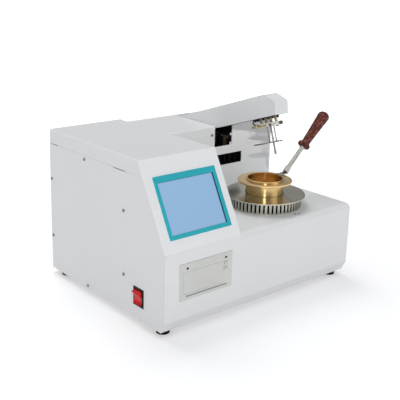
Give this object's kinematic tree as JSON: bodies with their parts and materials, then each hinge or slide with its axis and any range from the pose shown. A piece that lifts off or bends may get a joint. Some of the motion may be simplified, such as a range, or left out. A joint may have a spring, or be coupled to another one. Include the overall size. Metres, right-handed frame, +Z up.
{
  "type": "flash point tester",
  "caption": "Automatic open-cup flash point tester: sheet-metal cabinet with sloping touch screen and printer, slotted heater with brass cup, and lifting test arm on a rear hinge.",
  "frame": {"origin": "centre of the tester's bounding box, on the bench under its feet", "axes": "+Z up, the operator stands at -Y, the test cup is towards +X"},
  "size_m": [0.4906, 0.3666, 0.3448],
  "materials": {
    "cabinet_paint": "light grey powder coat",
    "console_plate": "pale blue grey satin paint",
    "bezel": "teal printed film",
    "screen": "blue lit screen",
    "dark_plastic": "black moulded plastic",
    "grey_plastic": "light grey moulded plastic",
    "white_ceramic": "off-white insulator",
    "rocker_red": "red switch cap",
    "rubber_foot": "black rubber",
    "screw_steel": "zinc plated",
    "steel": "brushed stainless steel",
    "cup_brass": "turned brass",
    "brass_fitting": "machined brass",
    "grip_brown": "marbled red-brown phenolic",
    "black_bracket": "black",
    "paper": "printer paper",
    "board_green": "circuit board",
    "zinc_box": "plain metal case"
  },
  "bodies": {
    "cabinet": {"air_duct": "dark_plastic", "arm_sensor": "grey_plastic", "base_pan": "cabinet_paint", "case_screws": "screw_steel", "console_panel": "console_plate", "control_board": "board_green", "display_module": "dark_plastic", "fan_frame": "dark_plastic", "feet": "rubber_foot", "foot_screws": "screw_steel", "front_deck": "cabinet_paint", "gas_nozzle": "brass_fitting", "heater_block": "steel", "heater_core": "white_ceramic", "heater_plate": "steel", "heater_skirt": "steel", "heater_tray": "steel", "left_side": "cabinet_paint", "lift_bush": "brass_fitting", "lift_motor": "dark_plastic", "mech_channel": "black_bracket", "pivot_shaft": "steel", "power_inlet": "dark_plastic", "power_supply": "zinc_box", "printer_case": "grey_plastic", "printer_lamps": "dark_plastic", "rear_housing": "cabinet_paint", "rear_panel": "cabinet_paint", "right_side": "cabinet_paint", "roll_spindle": "dark_plastic", "screen_bezel": "bezel", "switch_frame": "dark_plastic", "touch_screen": "screen", "tower_cover": "cabinet_paint"},
    "printer_door": {"printer_door": "grey_plastic"},
    "paper_roll": {"paper_roll": "paper"},
    "platen": {"platen_roller": "dark_plastic"},
    "feed_key": {"feed_key": "dark_plastic"},
    "select_key": {"select_key": "dark_plastic"},
    "rocker": {"power_rocker": "rocker_red"},
    "cup": {"cup": "cup_brass", "handle_clip": "steel", "clip_rivets": "screw_steel", "handle_rod": "steel", "handle_grip": "grip_brown"},
    "arm": {"arm_cover": "cabinet_paint", "arm_plate": "black_bracket", "arm_hub": "steel", "head_block": "white_ceramic", "head_studs": "screw_steel", "head_springs": "brass_fitting", "detector_wire": "steel", "wire_tips": "black_bracket", "temperature_probe": "steel", "thumb_screw": "screw_steel"},
    "igniter": {"igniter_jet": "brass_fitting"},
    "valve_knob": {"valve_knob": "screw_steel"},
    "lift": {"lift_rod": "brass_fitting"},
    "roller": {"lift_roller": "steel"},
    "fan": {"fan_rotor": "dark_plastic"}
  },
  "joints": [
    {"name": "arm_tilt", "type": "hinge", "parent": "cabinet", "child": "arm", "pos_m": [0.06481, 0.13385, 0.249], "axis": [-1, 0, 0], "range_deg": [-16, 0]},
    {"name": "lift_slide", "type": "slide", "parent": "cabinet", "child": "lift", "axis": [0, 0, 1], "range_m": [-0.0216, 0]},
    {"name": "roller_spin", "type": "hinge", "parent": "lift", "child": "roller", "pos_m": [0.06481, 0.05585, 0.24895], "axis": [1, 0, 0], "continuous": true},
    {"name": "igniter_swing", "type": "hinge", "parent": "arm", "child": "igniter", "pos_m": [0.05381, -0.06995, 0.28292], "axis": [-1, 0, 0], "range_deg": [0, 150]},
    {"name": "valve_turn", "type": "hinge", "parent": "arm", "child": "valve_knob", "pos_m": [0.06481, -0.11358, 0.29752], "axis": [0, -0.9483, 0.3173], "range_deg": [0, 270]},
    {"name": "cup_lift", "type": "slide", "parent": "cabinet", "child": "cup", "axis": [0, 0, 1], "range_m": [0, 0.045]},
    {"name": "printer_door_hinge", "type": "hinge", "parent": "cabinet", "child": "printer_door", "pos_m": [-0.16289, -0.18075, 0.1035], "axis": [-1, 0, 0], "range_deg": [0, 80]},
    {"name": "paper_spin", "type": "hinge", "parent": "cabinet", "child": "paper_roll", "pos_m": [-0.16554, -0.15815, 0.088], "axis": [1, 0, 0], "continuous": true},
    {"name": "platen_spin", "type": "hinge", "parent": "cabinet", "child": "platen", "pos_m": [-0.16554, -0.17265, 0.0661], "axis": [1, 0, 0], "continuous": true},
    {"name": "feed_key_press", "type": "slide", "parent": "cabinet", "child": "feed_key", "axis": [0, 1, 0], "range_m": [0, 0.0012], "stiffness_N_per_m": 300},
    {"name": "select_key_press", "type": "slide", "parent": "cabinet", "child": "select_key", "axis": [0, 1, 0], "range_m": [0, 0.0012], "stiffness_N_per_m": 300},
    {"name": "power_rock", "type": "hinge", "parent": "cabinet", "child": "rocker", "pos_m": [-0.23589, -0.11215, 0.0485], "axis": [0, 1, 0], "range_deg": [0, 18]},
    {"name": "fan_spin", "type": "hinge", "parent": "cabinet", "child": "fan", "pos_m": [0.13411, 0.14735, 0.075], "axis": [0, 1, 0], "continuous": true}
  ],
  "couplings": [
    {"joint": "lift_slide", "follows": "arm_tilt", "m_per_rad": 0.076508}
  ]
}
